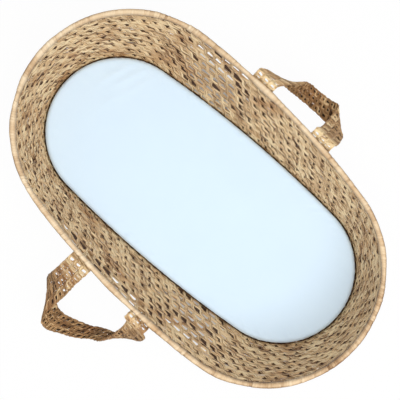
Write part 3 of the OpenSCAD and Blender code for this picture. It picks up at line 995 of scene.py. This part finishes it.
foam_finish, add, wire, shader = new_finish("pad_foam")
place = add("TexCoord")
cells = add("TexVoronoi", {"Scale": 700})
wire(place.outputs["Object"], cells.inputs["Vector"])
foam_colour = add("ValToRGB")
foam_colour.color_ramp.elements[0].color = from_screen(222, 214, 190)
foam_colour.color_ramp.elements[1].color = from_screen(246, 242, 226)
foam_colour.color_ramp.elements[1].position = 0.5
wire(cells.outputs["Distance"], foam_colour.inputs[0])
wire(foam_colour.outputs[0], shader.inputs["Base Color"])
pores = add("Bump", {"Strength": 0.7, "Distance": 0.0006})
wire(cells.outputs["Distance"], pores.inputs["Height"])
wire(pores.outputs[0], shader.inputs["Normal"])
shader.inputs["Roughness"].default_value = 0.95

foam_depth = 0.0026
foam = rolled("mattress_foam_pad", bed_rows(foam_depth, 0, hem_wide + 0.0051, base_thick + 0.0018))
foam.data.materials.append(foam_finish)
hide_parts("mattress_foam")
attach(foam, "mattress")


# ---- Mattress case -----------------------------------------------------------
# The foam has a case of white cotton ticking, cut as two ovals with the side between them and
# sewn round. It comes off for washing, and is pulled smooth over the foam.
def cloth_finish(name, colour, shade, threads, rough, relief, sheen=0.2):
    """Woven cotton: two crossing sets of threads on Object coordinates, a little uneven."""
    material, add, wire, shader = new_finish(name)
    place = add("TexCoord")
    weave = add("Math", operation="MAXIMUM")
    uneven = {"Scale": threads, "Distortion": 1.2, "Detail": 1, "Detail Scale": 3}
    for number, direction in enumerate("XY"):
        thread = add("TexWave", uneven, bands_direction=direction)
        wire(place.outputs["Object"], thread.inputs["Vector"])
        wire(thread.outputs["Fac"], weave.inputs[number])
    cloud = add("TexNoise", {"Scale": 9, "Detail": 3})
    wire(place.outputs["Object"], cloud.inputs["Vector"])
    blend = add("Mix", {"A": from_screen(*colour), "B": from_screen(*shade)}, data_type="RGBA")
    wire(cloud.outputs["Fac"], blend.inputs["Factor"])
    wire(blend.outputs["Result"], shader.inputs["Base Color"])
    bump = add("Bump", {"Strength": relief, "Distance": 0.0002})
    wire(weave.outputs[0], bump.inputs["Height"])
    wire(bump.outputs[0], shader.inputs["Normal"])
    shader.inputs["Roughness"].default_value = rough
    shader.inputs["Sheen Weight"].default_value = sheen
    shader.inputs["Sheen Roughness"].default_value = 0.5
    return material


def thickened(piece, thickness):
    """Gives a cloth skin its thickness, inwards from the surface that it was shaped to."""
    wall = piece.modifiers.new("solidify", "SOLIDIFY")
    wall.thickness = thickness
    wall.offset = -1
    bpy.context.view_layer.objects.active = piece
    bpy.ops.object.modifier_apply(modifier=wall.name)


case_depth = 0.0011
case = rolled("mattress_case", bed_rows(case_depth, 0, hem_wide + 0.0036, base_thick + 0.0003))
thickened(case, 0.001)
case.data.materials.append(cloth_finish(
    "cotton_ticking", (244, 243, 238), (226, 225, 218), threads=420, rough=0.9, relief=0.5))
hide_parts("mattress_cover")
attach(case, "mattress")


# ---- Fitted sheet ------------------------------------------------------------
# The fitted sheet is thin pale blue cotton. Its hem turns in under the mattress and its elastic
# pulls it taut, with small puckers round the edge and a few soft creases across the top.
top_rings = 70
rows = bed_rows(0, 0.0003, top_rings=top_rings)
edge_row = len(rows) - top_rings - 1
round_bed = np.arange(around_bed) / around_bed
gathers = ripple(round_bed, 60, 150) * (0.8 + 0.4 * ripple(round_bed, 2, 7))
gathers = 0.5 + 0.5 * np.clip(gathers, -1, 1.4)
gather_deep = 0.0013
pucker = 0.0004 * ripple(round_bed, 45, 120) * (1 + 0.5 * ripple(round_bed, 1, 6))
pucker = np.clip(pucker, -0.0002, 0.0012)
# each crease: its middle in plan, its heading in radians and its height
creases = (
    (-0.271, 0.084, 1.22, 0.0020), (-0.246, 0.094, 1.16, 0.0023), (-0.226, 0.086, 1.24, 0.0016),
    (-0.248, 0.040, 1.36, 0.0010), (0.15, -0.1, 0.2, 0.0006),
)
crease_bend, crease_wide, crease_long = 0.8, 0.0072, 0.036
for number, row in enumerate(rows):
    if number <= edge_row:
        # the elastic gathers the cloth low on the side, and the folds run out towards the top
        way = np.roll(row, -1, 0) - np.roll(row, 1, 0)
        outward = np.stack([way[:, 1], -way[:, 0]], -1)
        outward /= np.linalg.norm(way[:, :2], axis=1)[:, None] + 1e-9
        row[:, :2] += outward * (gather_deep * gathers * (1 - number / edge_row) ** 1.3)[:, None]
    row[:, 2] += pucker * math.exp(-((number - edge_row - 1) / 3.0) ** 2)
    if number > edge_row:
        for x, y, heading, high in creases:
            c, s = math.cos(heading), math.sin(heading)
            aside = (row[:, 1] - y) * c - (row[:, 0] - x) * s
            forward = (row[:, 0] - x) * c + (row[:, 1] - y) * s
            bent = aside + crease_bend * forward ** 2
            row[:, 2] += high * np.exp(-(bent / crease_wide) ** 2 - (forward / crease_long) ** 2)
hem = [bed_loop(bed_low, hem_wide * k, bed_low) for k in (1, 0.75, 0.5, 0.25)]
sheet_skin = rolled("fitted_cot_sheet", hem + rows)
thickened(sheet_skin, 0.0007)
sheet_skin.data.materials.append(cloth_finish(
    "pale_blue_cotton", (215, 237, 254), (210, 232, 252), threads=520, rough=0.85, relief=0.25))
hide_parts("fitted_sheet")
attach(sheet_skin, "mattress")


# ---- Hem elastic -------------------------------------------------------------
# The elastic is a narrow braid of white cotton over rubber. It lies along the inner edge of the
# sheet's hem, under the mattress, and draws the sheet tight.
elastic_low, elastic_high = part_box("sheet_elastic")
elastic_thick = elastic_high.z - elastic_low.z
past_hem = 0.0003
braid_loops, braid_step = 110, 0.0015
line = grown(wall_oval(height_share(bed_low)),
             -half_wall - bed_gap - hem_wide - past_hem - elastic_thick / 2)
around = oval_length(line)
strip = plait(around, elastic_thick, braid_loops, leaves=1, steps=8, leaf_wide=0.0013,
              leaf_thick=0.0011, rise=0.0009, section=leaf_sharp)
laid = flat_ring(strip, line, around, level=(elastic_low.z + elastic_high.z) / 2)
elastic_finish = leaf_finish(
    "hem_elastic_cord", inner=(214, 214, 212), dark=(222, 222, 220), middle=(238, 238, 236),
    pale=(250, 250, 248), stain=(230, 230, 230), stain_share=0.2, gloss=0.7,
)
braid = [(laid, leaf_tones(strands), True, braid_step)]
piece = leaf_mesh("hem_elastic", braid, elastic_finish)
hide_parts("sheet_elastic")
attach(piece, "mattress")
